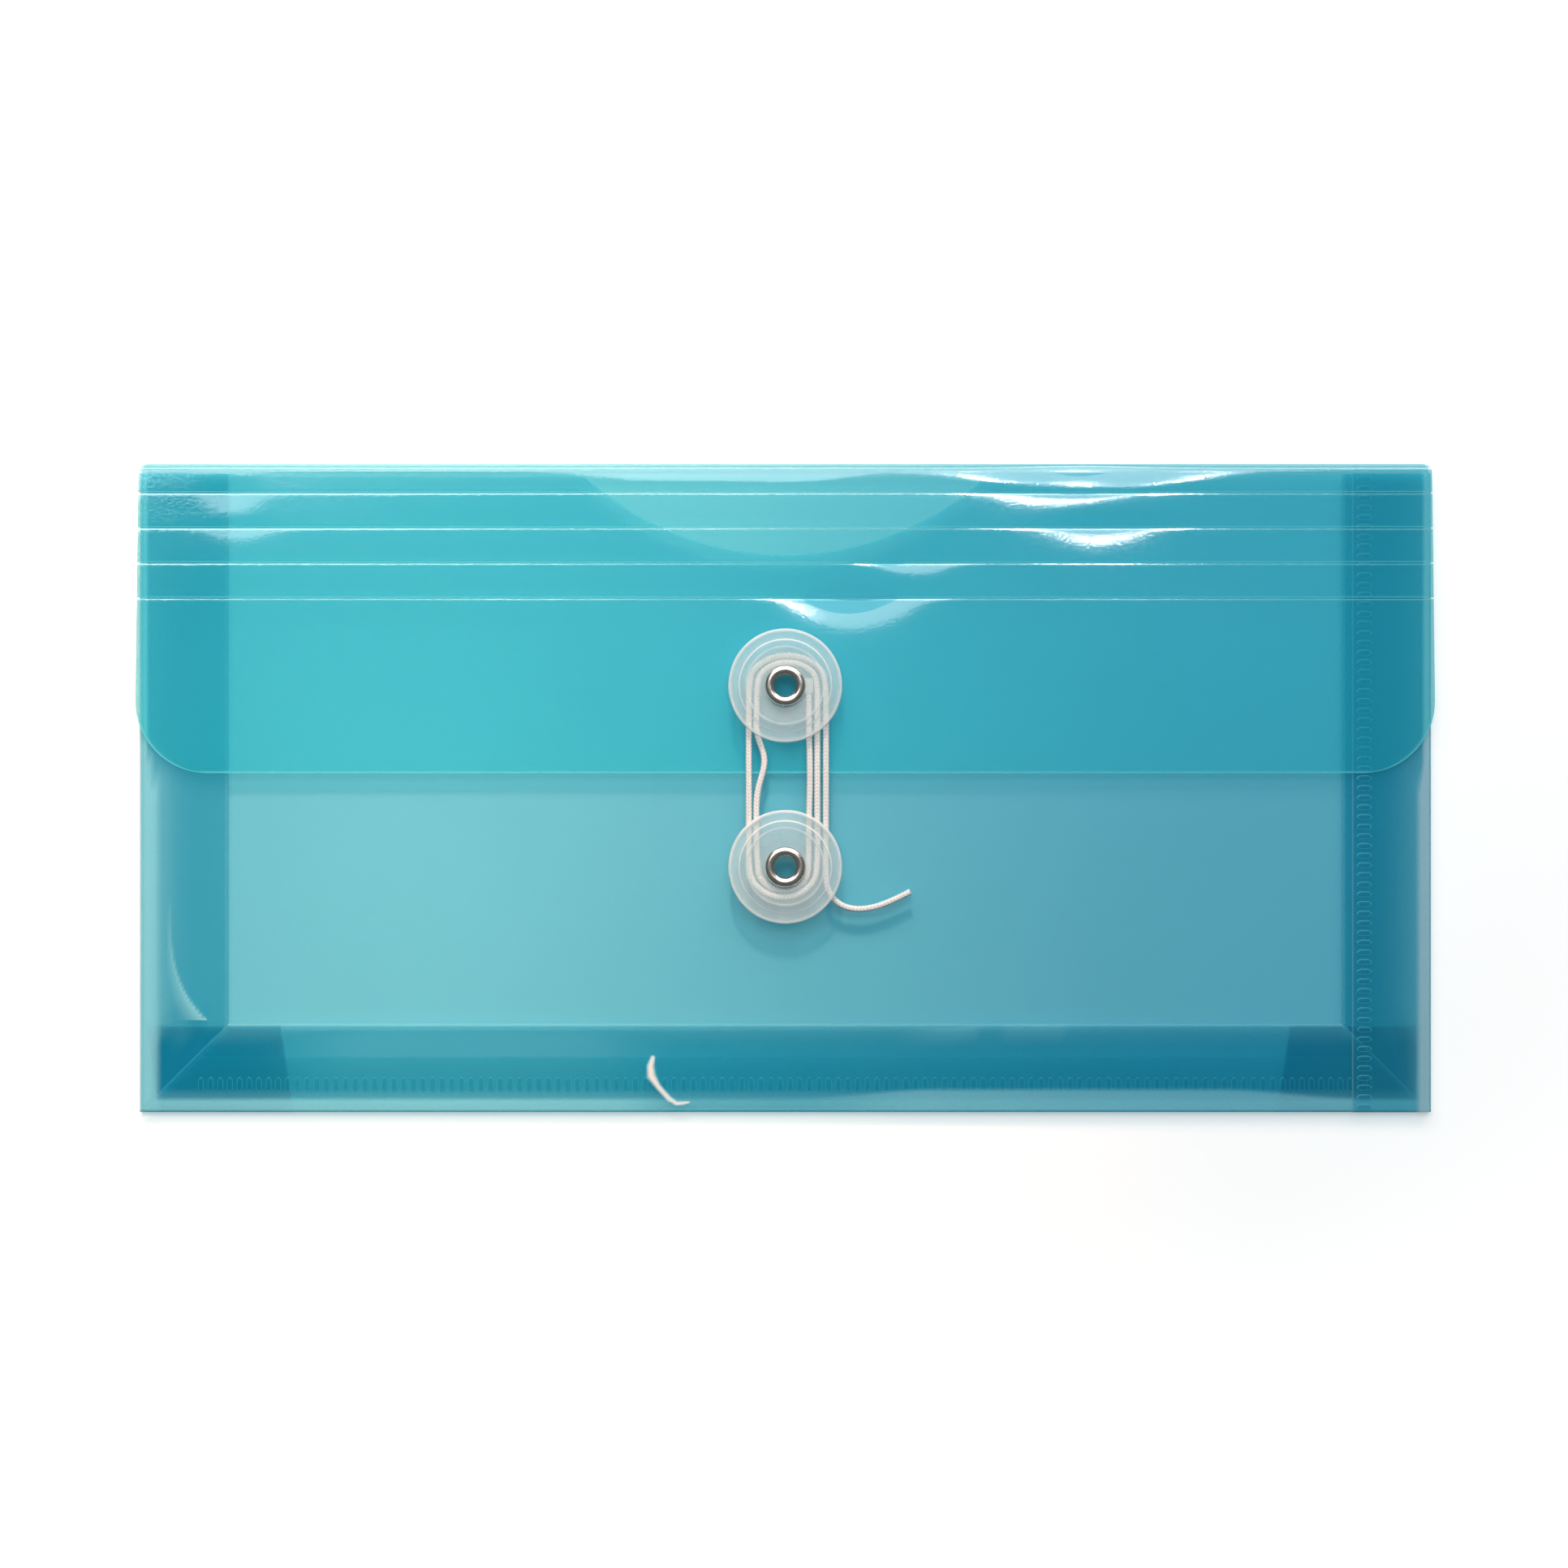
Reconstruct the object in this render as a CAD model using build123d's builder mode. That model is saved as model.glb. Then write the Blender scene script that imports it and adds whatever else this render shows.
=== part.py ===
"""String-tie envelope of clear tinted sheet, lying flat with its flap and buttons up. Millimetres, +Z up.

The origin is under the middle of the envelope, on the surface the back panel lies on.
+Y runs from the bottom gusset to the top fold, +X towards the welded side seam.
"""
import os
from math import acos, asin, degrees, hypot, pi, sin, tan

from build123d import *

# Envelope body and sheet
BODY_WIDTH = 254.0
BODY_HEIGHT = 127.6
SHEET = 0.2
LAYER_GAP = 0.6
CORNER_RADIUS = 2.0
TOP_SETBACK = 2.0
HINGE_GAP = 0.2

# Gussets that fold in at both sides and the bottom
GUSSET = 17.0
LEAF_SETBACK = 0.3
LEAF_CORNER = 1.5
MITRE_GAP = 0.25
DUST_LENGTH = 27.6
DUST_TAPER = 2.5

# Thumb notch in the front panel
NOTCH_RADIUS = 58.0
NOTCH_DEPTH = 16.0
NOTCH_CORNER = 3.0

# Welded seams, with one rib for each tooth of the sealing bar
SIDE_TAB = 15.6
SEAM_LAP = 10.8
SEAM_START = 1.0
WELD_PITCH = 1.9
WELD_RIB = 0.7
WELD_LENGTH = 2.9
WELD_HEIGHT = 0.06
SIDE_WELD_INSET = 13.2
SEAM_WELD_INSET = 5.4

# Flap with its score lines
FLAP_LENGTH = 60.9
FLAP_WIDTH = 255.6
FLAP_CORNER = 14.3
FIRST_CREASE = 5.9
CREASE_PITCH = 6.9
CREASE_COUNT = 4
CREASE_GAP = 0.25

# Button-and-string closure
BUTTON_RADIUS = 11.15
BUTTON_THICKNESS = 0.8
BUTTON_RIM = 0.3
PLATEAU_RADIUS = 8.9
PLATEAU_HEIGHT = 0.15
GROOVE_RADIUS = 7.6
GROOVE_DEPTH = 0.15
GROOVE_WIDTH = 0.4
UPPER_BUTTON_DROP = 43.8
BUTTON_SPACING = 35.5
HUB_RADIUS = 3.6
HUB_HEIGHT = 2.3
RUNNING_GAP = 0.05
EYELET_BARREL = 2.6
EYELET_BORE = 2.15
EYELET_FLANGE = 4.0
EYELET_DOME = 0.65
ROLL_RADIUS = 3.4
ROLL_HEIGHT = 0.3

# Braided string
STRING_DIAMETER = 1.25
STRING_SIDES = 12
STRING_GAP = 0.45
STRING_LIFT = 0.125
HALF_TURNS = 4
FIRST_RUN = 4.6
LUG_WIDTH = 1.7
LUG_DROP = 1.5
TAIL_POINTS = ((0.0, -4.2), (2.4, -7.6), (6.6, -8.6), (11.9, -7.4), (16.6, -4.9))
TAIL_FALL = (0.0, 0.5, 0.93, 1.0, 1.0)

SIDE = BODY_WIDTH / 2
TOP = BODY_HEIGHT / 2
BOTTOM = -TOP
LAYER = SHEET + LAYER_GAP
BACK_LEAF_Z = LAYER
FRONT_LEAF_Z = 2 * LAYER
FRONT_Z = 3 * LAYER
FLAP_Z = 4 * LAYER
FLAP_TOP_Z = FLAP_Z + SHEET
FRONT_TOP_Z = FRONT_Z + SHEET
FRONT_EDGE = TOP - TOP_SETBACK
FLAP_END = TOP - FLAP_LENGTH
FOLD_RADIUS = FLAP_TOP_Z / 2
FOLD_Y = TOP - FOLD_RADIUS
FOLD_GAP_ANGLE = degrees(asin(HINGE_GAP / 2 / FOLD_RADIUS))
CREASES = [TOP - FIRST_CREASE - CREASE_PITCH * step for step in range(CREASE_COUNT)]
UPPER_Y = TOP - UPPER_BUTTON_DROP
LOWER_Y = UPPER_Y - BUTTON_SPACING
STRING_Z = FLAP_TOP_Z + STRING_LIFT + STRING_DIAMETER / 2
RUN_STEP = (STRING_DIAMETER + STRING_GAP) / 2
RUNS = [FIRST_RUN + RUN_STEP * turn for turn in range(HALF_TURNS + 1)]

os.makedirs("parts", exist_ok=True)


def save(part, name):
    """Label a finished piece and write it to its own file."""
    part.label = name
    export_step(part, f"parts/{name}.step")
    print(name, round(part.volume, 2))


def fold_quarter(start):
    """Draw a quarter of the rounded top fold, short of the hinge line, on the open YZ sketch."""
    size = 90 - FOLD_GAP_ANGLE
    with BuildLine() as outline:
        outer = CenterArc((FOLD_Y, FOLD_RADIUS), FOLD_RADIUS, start, size)
        inner = CenterArc((FOLD_Y, FOLD_RADIUS), FOLD_RADIUS - SHEET, start, size)
        Line(outer @ 0, inner @ 0)
        Line(outer @ 1, inner @ 1)
    make_face(outline.edges())


def strip(low, high):
    """Draw a full-width band between two heights of the flap, on the open sketch."""
    with Locations((0, (low + high) / 2)):
        Rectangle(FLAP_WIDTH + BODY_WIDTH, high - low, mode=Mode.INTERSECT)


def flap_outline():
    """Draw the whole flap as seen from above, on the open sketch."""
    half = FLAP_WIDTH / 2
    with BuildLine() as outline:
        Polyline((-SIDE, TOP), (-half, FLAP_END), (half, FLAP_END), (SIDE, TOP), close=True)
    face = make_face(outline.edges())
    corners = face.vertices().sort_by(Axis.Y)
    fillet(corners[:2], FLAP_CORNER)
    fillet(corners[2:], CORNER_RADIUS)


def weld_ribs(length, centre, upright):
    """Add the row of weld ribs of a seam to the open part."""
    count = int(length / WELD_PITCH)
    size = (WELD_LENGTH, WELD_RIB) if upright else (WELD_RIB, WELD_LENGTH)
    grid = (1, WELD_PITCH, 1, count) if upright else (WELD_PITCH, 1, count, 1)
    with Locations(centre):
        with GridLocations(*grid):
            Box(*size, WELD_HEIGHT, align=(Align.CENTER, Align.CENTER, Align.MIN))


# Back panel: the sheet that lies on the table, rolled up at the top into half of the fold
with BuildPart() as back_panel:
    with BuildSketch(Plane.YZ):
        with Locations(((BOTTOM + FOLD_Y) / 2, SHEET / 2)):
            Rectangle(FOLD_Y - BOTTOM, SHEET)
        fold_quarter(-90)
    extrude(amount=SIDE, both=True)
    with BuildSketch():
        Rectangle(BODY_WIDTH, BODY_HEIGHT)
        fillet(vertices().sort_by(Axis.Y)[2:], CORNER_RADIUS)
    extrude(amount=FLAP_TOP_Z, mode=Mode.INTERSECT)
save(back_panel.part, "back_panel")

# Front panel: the sheet with the thumb notch, which the lower button is riveted to
with BuildPart() as front_panel:
    with BuildSketch(Plane.XY.offset(FRONT_Z)):
        with Locations((0, (BOTTOM + FRONT_EDGE) / 2)):
            Rectangle(BODY_WIDTH, FRONT_EDGE - BOTTOM)
        with Locations((0, FRONT_EDGE - NOTCH_DEPTH + NOTCH_RADIUS)):
            Circle(NOTCH_RADIUS, mode=Mode.SUBTRACT)
        notch_ends = vertices().filter_by_position(Axis.X, 1 - SIDE, SIDE - 1)
        fillet(notch_ends.group_by(Axis.Y)[-1], NOTCH_CORNER)
        with Locations((0, LOWER_Y)):
            Circle(EYELET_BARREL + RUNNING_GAP, mode=Mode.SUBTRACT)
    extrude(amount=SHEET)
save(front_panel.part, "front_panel")

# Side seam tab: the welded margin of the side gusset, on top of the front panel
with BuildPart() as side_seam_tab:
    with BuildSketch(Plane.XY.offset(FRONT_TOP_Z)):
        with Locations((SIDE - SIDE_TAB / 2, (BOTTOM + FRONT_EDGE) / 2)):
            Rectangle(SIDE_TAB, FRONT_EDGE - BOTTOM)
    extrude(amount=SHEET)
    middle = (SIDE - SIDE_WELD_INSET, (BOTTOM + FRONT_EDGE) / 2, FRONT_TOP_Z + SHEET)
    weld_ribs(FRONT_EDGE - BOTTOM, middle, True)
save(side_seam_tab.part, "side_seam_tab")


def side_leaf(side, height):
    """Draw one leaf of a side gusset, mitred at the bottom, on the open part."""
    outer = SIDE - LEAF_SETBACK
    inner = SIDE - GUSSET
    with BuildSketch(Plane.XY.offset(height)) as outline:
        with BuildLine():
            Polyline(
                (side * outer, FRONT_EDGE),
                (side * inner, FRONT_EDGE),
                (side * inner, BOTTOM + GUSSET + MITRE_GAP),
                (side * outer, BOTTOM + LEAF_SETBACK + MITRE_GAP),
                close=True,
            )
        make_face()
        fillet(vertices().group_by(Axis.Y)[-1].sort_by(Axis.X)[0 if side > 0 else -1], LEAF_CORNER)
    extrude(outline.sketch, amount=SHEET)


# Side gussets: two leaves on each side, folded in between the panels
with BuildPart() as left_back_leaf:
    side_leaf(-1, BACK_LEAF_Z)
save(left_back_leaf.part, "left_back_leaf")

with BuildPart() as left_front_leaf:
    side_leaf(-1, FRONT_LEAF_Z)
save(left_front_leaf.part, "left_front_leaf")

with BuildPart() as right_back_leaf:
    side_leaf(1, BACK_LEAF_Z)
save(right_back_leaf.part, "right_back_leaf")

with BuildPart() as right_front_leaf:
    side_leaf(1, FRONT_LEAF_Z)
save(right_front_leaf.part, "right_front_leaf")


def bottom_sheet(low, high, height):
    """Extrude a mitred strip of the bottom gusset, between two insets from the bottom edge."""
    with BuildSketch(Plane.XY.offset(height)) as outline:
        with BuildLine():
            Polyline(
                (low + MITRE_GAP - SIDE, BOTTOM + low),
                (SIDE - low - MITRE_GAP, BOTTOM + low),
                (SIDE - high - MITRE_GAP, BOTTOM + high),
                (high + MITRE_GAP - SIDE, BOTTOM + high),
                close=True,
            )
        make_face()
    extrude(outline.sketch, amount=SHEET)


# Bottom gusset: two leaves mitred against the side leaves
with BuildPart() as bottom_back_leaf:
    bottom_sheet(LEAF_SETBACK, GUSSET, BACK_LEAF_Z)
save(bottom_back_leaf.part, "bottom_back_leaf")

with BuildPart() as bottom_front_leaf:
    bottom_sheet(LEAF_SETBACK, GUSSET, FRONT_LEAF_Z)
save(bottom_front_leaf.part, "bottom_front_leaf")

# Bottom seam lap: the sheet edge welded over the front leaf
with BuildPart() as bottom_seam_lap:
    bottom_sheet(SEAM_START, SEAM_LAP, FRONT_LEAF_Z + SHEET)
    seam_span = BODY_WIDTH - 2 * SEAM_LAP - 2 * MITRE_GAP
    weld_ribs(seam_span, (0, BOTTOM + SEAM_WELD_INSET, FRONT_LEAF_Z + 2 * SHEET), False)
save(bottom_seam_lap.part, "bottom_seam_lap")


def dust_flap(side):
    """Extrude one tucked-in corner flap against the underside of the bottom back leaf."""
    low = LEAF_SETBACK
    with BuildSketch(Plane.XY.offset(BACK_LEAF_Z - SHEET)) as outline:
        with BuildLine():
            Polyline(
                (side * (SIDE - low - MITRE_GAP), BOTTOM + low),
                (side * (SIDE - DUST_LENGTH - DUST_TAPER), BOTTOM + low),
                (side * (SIDE - DUST_LENGTH), BOTTOM + GUSSET),
                (side * (SIDE - GUSSET - MITRE_GAP), BOTTOM + GUSSET),
                close=True,
            )
        make_face()
    extrude(outline.sketch, amount=SHEET)


# Dust flaps: the side gussets' ends, welded inside the bottom corners
with BuildPart() as left_dust_flap:
    dust_flap(-1)
save(left_dust_flap.part, "left_dust_flap")

with BuildPart() as right_dust_flap:
    dust_flap(1)
save(right_dust_flap.part, "right_dust_flap")

# First flap strip: the upper half of the rounded fold and the band to the first score line
with BuildPart() as flap_strip_1:
    strip_end = CREASES[0] + CREASE_GAP / 2
    with BuildSketch(Plane.YZ):
        with Locations(((strip_end + FOLD_Y) / 2, FLAP_Z + SHEET / 2)):
            Rectangle(FOLD_Y - strip_end, SHEET)
        fold_quarter(FOLD_GAP_ANGLE)
    extrude(amount=FLAP_WIDTH, both=True)
    with BuildSketch():
        flap_outline()
    extrude(amount=FLAP_TOP_Z, mode=Mode.INTERSECT)
save(flap_strip_1.part, "flap_strip_1")

# Flap strips between the score lines, which let the flap bend over a full envelope
for number in range(1, CREASE_COUNT):
    with BuildPart() as flap_strip:
        with BuildSketch(Plane.XY.offset(FLAP_Z)):
            flap_outline()
            strip(CREASES[number] + CREASE_GAP / 2, CREASES[number - 1] - CREASE_GAP / 2)
        extrude(amount=SHEET)
    save(flap_strip.part, f"flap_strip_{number + 1}")

# Flap tongue: the round-cornered end of the flap, which the upper button is riveted to
with BuildPart() as flap_tongue:
    with BuildSketch(Plane.XY.offset(FLAP_Z)):
        flap_outline()
        strip(FLAP_END, CREASES[-1] - CREASE_GAP / 2)
        with Locations((0, UPPER_Y)):
            Circle(EYELET_BARREL + RUNNING_GAP, mode=Mode.SUBTRACT)
    extrude(amount=SHEET)
save(flap_tongue.part, "flap_tongue")


def hub(y, height):
    """Extrude the spacer ring that holds a button off its sheet, on the open part."""
    with BuildSketch(Plane.XY.offset(height)) as outline:
        with Locations((0, y)):
            Circle(HUB_RADIUS)
            Circle(EYELET_BARREL + RUNNING_GAP, mode=Mode.SUBTRACT)
    extrude(outline.sketch, amount=HUB_HEIGHT)


# Upper hub: the spacer with the lug that the string is fastened to
with BuildPart() as upper_hub:
    hub(UPPER_Y, FLAP_TOP_Z)
    with BuildSketch(Plane.XY.offset(FLAP_TOP_Z)):
        with Locations((FIRST_RUN + LUG_WIDTH / 2, UPPER_Y)):
            Rectangle(FIRST_RUN + LUG_WIDTH, 2 * LUG_DROP, align=(Align.MAX, Align.CENTER))
            fillet(vertices().sort_by(Axis.X)[2:], LUG_WIDTH / 4)
        with Locations((0, UPPER_Y)):
            Circle((EYELET_BARREL + HUB_RADIUS) / 2, mode=Mode.SUBTRACT)
    extrude(amount=STRING_DIAMETER + 2 * STRING_LIFT)
save(upper_hub.part, "upper_hub")

with BuildPart() as lower_hub:
    hub(LOWER_Y, FRONT_TOP_Z)
save(lower_hub.part, "lower_hub")


def button(y, height):
    """Revolve one button disc with its bevelled rim, raised middle and underside groove."""
    bore = EYELET_BARREL + RUNNING_GAP
    level = height + BUTTON_THICKNESS
    with BuildSketch(Plane.XZ.offset(-y)) as profile:
        with BuildLine():
            Polyline(
                (bore, height),
                (GROOVE_RADIUS - GROOVE_WIDTH, height),
                (GROOVE_RADIUS, height + GROOVE_DEPTH),
                (GROOVE_RADIUS + GROOVE_WIDTH, height),
                (BUTTON_RADIUS, height),
                (BUTTON_RADIUS, level),
                (PLATEAU_RADIUS + PLATEAU_HEIGHT, level),
                (PLATEAU_RADIUS, level + PLATEAU_HEIGHT),
                (bore, level + PLATEAU_HEIGHT),
                close=True,
            )
        make_face()
        chamfer(vertices().group_by(Axis.X)[-1], BUTTON_RIM)
    revolve(profile.sketch, axis=Axis((0, y, 0), (0, 0, 1)))


# Buttons: thin clear discs that turn on their eyelets
UPPER_DISC_Z = FLAP_TOP_Z + HUB_HEIGHT + RUNNING_GAP
LOWER_DISC_Z = FRONT_TOP_Z + HUB_HEIGHT + RUNNING_GAP

with BuildPart() as upper_button:
    button(UPPER_Y, UPPER_DISC_Z)
save(upper_button.part, "upper_button")

with BuildPart() as lower_button:
    button(LOWER_Y, LOWER_DISC_Z)
save(lower_button.part, "lower_button")


def eyelet(y, sheet_z, disc_z):
    """Revolve one eyelet: domed flange on the disc, barrel, and the end rolled under the sheet."""
    seat = disc_z + BUTTON_THICKNESS + PLATEAU_HEIGHT + RUNNING_GAP
    crown = EYELET_FLANGE - EYELET_BORE
    with BuildSketch(Plane.XZ.offset(-y)) as profile:
        with BuildLine():
            Polyline(
                (EYELET_BORE, sheet_z - ROLL_HEIGHT),
                (ROLL_RADIUS, sheet_z - ROLL_HEIGHT),
                (ROLL_RADIUS, sheet_z),
                (EYELET_BARREL, sheet_z),
                (EYELET_BARREL, seat),
                (EYELET_FLANGE, seat),
                (EYELET_FLANGE, seat + 0.35 * EYELET_DOME),
                (EYELET_FLANGE - 0.2 * crown, seat + 0.8 * EYELET_DOME),
                (EYELET_FLANGE - 0.45 * crown, seat + EYELET_DOME),
                (EYELET_BORE + 0.25 * crown, seat + 0.75 * EYELET_DOME),
                (EYELET_BORE, seat + 0.2 * EYELET_DOME),
                close=True,
            )
        make_face()
    revolve(profile.sketch, axis=Axis((0, y, 0), (0, 0, 1)))


# Eyelets: plated rivets that hold each button and hub to its sheet
with BuildPart() as upper_eyelet:
    eyelet(UPPER_Y, FLAP_Z, UPPER_DISC_Z)
save(upper_eyelet.part, "upper_eyelet")

with BuildPart() as lower_eyelet:
    eyelet(LOWER_Y, FRONT_Z, LOWER_DISC_Z)
save(lower_eyelet.part, "lower_eyelet")

# String winding: one unbroken tube from the lug, spiralling out round both hubs without crossing itself
with BuildPart() as string_winding:
    with BuildLine() as winding_route:
        Line((RUNS[0], UPPER_Y - LUG_DROP, STRING_Z), (RUNS[0], LOWER_Y, STRING_Z))
        for turn in range(HALF_TURNS):
            hand = 1 if turn % 2 == 0 else -1
            hub_y = LOWER_Y if turn % 2 == 0 else UPPER_Y
            next_y = UPPER_Y if turn % 2 == 0 else LOWER_Y
            near = hand * RUNS[turn]
            far = -hand * RUNS[turn + 1]
            reach = (RUNS[turn] + RUNS[turn + 1]) / 2
            ThreePointArc(
                (near, hub_y, STRING_Z),
                ((near + far) / 2, hub_y - hand * reach, STRING_Z),
                (far, hub_y, STRING_Z),
            )
            Line((far, hub_y, STRING_Z), (far, next_y, STRING_Z))
    route = winding_route.wires()[0]
    with BuildSketch(Plane(origin=route @ 0, z_dir=route % 0)):
        RegularPolygon(STRING_DIAMETER / 2, STRING_SIDES)
    sweep(path=route)
save(string_winding.part, "string_winding")

# String tail: the loose end past the lower button, lying down on the front panel to its cut end
tail_start = (RUNS[-1], LOWER_Y, STRING_Z)
tail_fall = STRING_Z - (FRONT_TOP_Z + STRING_LIFT + STRING_DIAMETER / 2)
tail_points = [tail_start]
for (across, along), share in zip(TAIL_POINTS, TAIL_FALL):
    tail_points.append((RUNS[-1] + across, LOWER_Y + along, STRING_Z - share * tail_fall))
tail_runs = [Vector(*b) - Vector(*a) for a, b in zip(tail_points, tail_points[1:])]
tail_radii = []
for before, after in zip(tail_runs, tail_runs[1:]):
    bend = acos(before.dot(after) / before.length / after.length)
    tail_radii.append(0.45 * min(before.length, after.length) / tan(bend / 2))
with BuildPart() as string_tail:
    with BuildLine() as tail_route:
        FilletPolyline(*tail_points, radius=tail_radii)
    tail_path = tail_route.wires()[0]
    with BuildSketch(Plane(origin=tail_path @ 0, z_dir=tail_path % 0)):
        RegularPolygon(STRING_DIAMETER / 2, STRING_SIDES)
    sweep(path=tail_path)
save(string_tail.part, "string_tail")


def least_self_gap(wire):
    """Measure the least gap between turns of a tube that follows the wire."""
    count = int(wire.length / 0.4)
    step = wire.length / count
    points = [wire.position_at(index / count) for index in range(count + 1)]
    apart = int(4 * STRING_DIAMETER / step)
    least = wire.length
    for index, point in enumerate(points):
        for other in points[index + apart:]:
            least = min(least, hypot(point.X - other.X, point.Y - other.Y, point.Z - other.Z))
    return least - STRING_DIAMETER


section = STRING_SIDES * STRING_DIAMETER**2 / 8 * sin(2 * pi / STRING_SIDES)
print("winding least gap to itself", round(least_self_gap(route), 3))
print("winding length", round(route.length, 2), "volume by length", round(section * route.length, 2))
print("tail bend radii", [round(radius, 2) for radius in tail_radii])
print("tail length", round(tail_path.length, 2), "volume by length", round(section * tail_path.length, 2))
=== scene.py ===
from math import cos, exp, hypot, pi, radians, sin, sqrt

import bpy
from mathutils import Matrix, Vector


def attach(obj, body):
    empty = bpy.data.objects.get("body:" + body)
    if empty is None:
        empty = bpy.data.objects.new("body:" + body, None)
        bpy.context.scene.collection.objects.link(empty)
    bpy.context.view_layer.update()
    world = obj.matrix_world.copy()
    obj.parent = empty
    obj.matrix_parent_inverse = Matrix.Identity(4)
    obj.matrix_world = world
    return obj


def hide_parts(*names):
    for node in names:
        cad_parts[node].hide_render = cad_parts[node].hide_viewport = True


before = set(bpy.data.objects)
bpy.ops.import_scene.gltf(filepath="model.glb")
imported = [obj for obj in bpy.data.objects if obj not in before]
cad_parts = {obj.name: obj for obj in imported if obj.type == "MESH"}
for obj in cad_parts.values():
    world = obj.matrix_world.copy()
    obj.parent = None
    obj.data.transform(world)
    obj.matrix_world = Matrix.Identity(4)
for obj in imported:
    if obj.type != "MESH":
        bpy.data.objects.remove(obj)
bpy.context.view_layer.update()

# The back panel is the half of the sheet that lies on the table, die-cut from clear tinted polypropylene.
# Its side and bottom edges roll up into the gussets, and its top edge rolls over into the flap.
SIDE = 0.127  # half the body's width
TOP = 0.0638
BOTTOM = -TOP
CORNER = 0.002  # radius of the top corners
LAYER = 0.0008  # from one sheet to the next above it
MID = 0.0001  # half a sheet's thickness
ROLL = 0.0004  # radius of a rolled edge
FOLD_Y = 0.0621  # where the sheet starts to roll over at the top
FOLD = 0.0016  # radius of the top fold
TINT = (0.715, 0.938, 0.994)
MILK = (0.0, 0.376, 0.46)
MILK_AND_GLINT_WHITE = (0.92, 0.95, 0.95)


class Shade:
    """A node socket that takes Python arithmetic, and makes the nodes of its tree."""

    def __init__(self, tree, socket=None):
        self.tree = tree
        self.socket = socket

    def make(self, kind, settings=None, values=None, out=0):
        node = self.tree.nodes.new(kind)
        for key, value in (settings or {}).items():
            if key == "stops":
                stops = node.color_ramp.elements
                while len(stops) < len(value):
                    stops.new(0.5)
                for stop, (place, colour) in zip(stops, value):
                    stop.position = place
                    stop.color = (*colour, 1)
            else:
                setattr(node, key, value)
        for key, value in (values or {}).items():
            if isinstance(value, Shade):
                self.tree.links.new(value.socket, node.inputs[key])
            else:
                node.inputs[key].default_value = value
        return Shade(self.tree, node.outputs[out] if len(node.outputs) else None)

    def maths(self, operation, first, second):
        return self.make("ShaderNodeMath", {"operation": operation}, {0: first, 1: second})

    def __add__(self, other):
        return self.maths("ADD", self, other)

    __radd__ = __add__

    def __mul__(self, other):
        return self.maths("MULTIPLY", self, other)

    __rmul__ = __mul__

    def __sub__(self, other):
        return self.maths("SUBTRACT", self, other)

    def __rsub__(self, other):
        return self.maths("SUBTRACT", other, self)

    def blend(self, first, second):
        """A colour that goes from first to second as this value goes from 0 to 1."""
        return self.make("ShaderNodeMix", {"data_type": "RGBA"}, {0: self, 6: first, 7: second}, 2)


def fresh(name):
    """A new material and its empty node tree."""
    material = bpy.data.materials.new(name)
    material.use_nodes = True
    material.node_tree.nodes.clear()
    return material, Shade(material.node_tree)


def film(name, white, tint=TINT, milk=MILK, haze=0.14, rough=0.2, grain=0.05, ripple=0.1, gloss=1.3, mark=0.42):
    """Clear tinted sheet: tinted light passes and a little is scattered. Rubbed and folded places turn milky, and the
    same attribute paints pale light and highlights into the sheet's colour.
    """
    material, made = fresh(name)
    place = made.make("ShaderNodeTexCoord", out="Object")
    crease = made.make("ShaderNodeAttribute", {"attribute_name": "crease"}, out="Fac")
    cloud = made.make("ShaderNodeTexNoise", None, {"Vector": place, "Scale": 11.0, "Detail": 3.0, "Roughness": 0.5})
    specks = made.make("ShaderNodeTexNoise", None, {"Vector": place, "Scale": 1700.0, "Detail": 1.0})
    waves = made.make("ShaderNodeTexNoise", None, {"Vector": place, "Scale": 70.0, "Detail": 1.5})
    relief = specks * grain + waves * ripple
    bump = made.make("ShaderNodeBump", None, {"Strength": 1.0, "Distance": 0.001, "Height": relief})
    milky_or_lit = crease * 0.9 + cloud * 0.04
    stops = [(0, milk), (0.45, white), (1, MILK_AND_GLINT_WHITE)]
    body = made.make("ShaderNodeBsdfPrincipled", None, {
        "Base Color": made.make("ShaderNodeValToRGB", {"stops": stops}, {0: milky_or_lit}),
        "Roughness": specks * 0.12 + rough,
        "IOR": gloss,
        "Normal": bump,
    })
    clear = made.make("ShaderNodeBsdfTransparent", None, {"Color": (*tint, 1)})
    share = crease * mark + cloud * 0.06 + haze
    mixed = made.make("ShaderNodeMixShader", None, {0: share, 1: clear, 2: body})
    made.make("ShaderNodeOutputMaterial", None, {"Surface": mixed})
    return material


def ease(distance, reach, start=0.0):
    """1 from an edge to start, falling smoothly to 0 at reach."""
    part = min(max((distance - start) / (reach - start), 0), 1)
    return 1 - part * part * (3 - 2 * part)


def spread(low, high, count, fine=0.0004):
    """Stations from low to high, closer together at both ends."""
    near = [low + fine * step for step in (0, 1, 2, 4, 7)]
    far = [high - fine * step for step in (7, 4, 2, 1, 0)]
    first, last = near[-1], far[0]
    return near[:-1] + [first + (last - first) * step / count for step in range(count + 1)] + far[1:]


def arc(radius, turns):
    """Steps round a bend as (run, lift), for turns in degrees."""
    return [(radius * sin(radians(turn)), radius - radius * cos(radians(turn))) for turn in turns]


def grid_faces(columns, rows, first=0):
    """The faces of a grid of points that starts at the point first."""
    faces = []
    for row in range(rows - 1):
        for column in range(columns - 1):
            corner = first + row * columns + column
            faces.append((corner, corner + 1, corner + columns + 1, corner + columns))
    return faces


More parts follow.
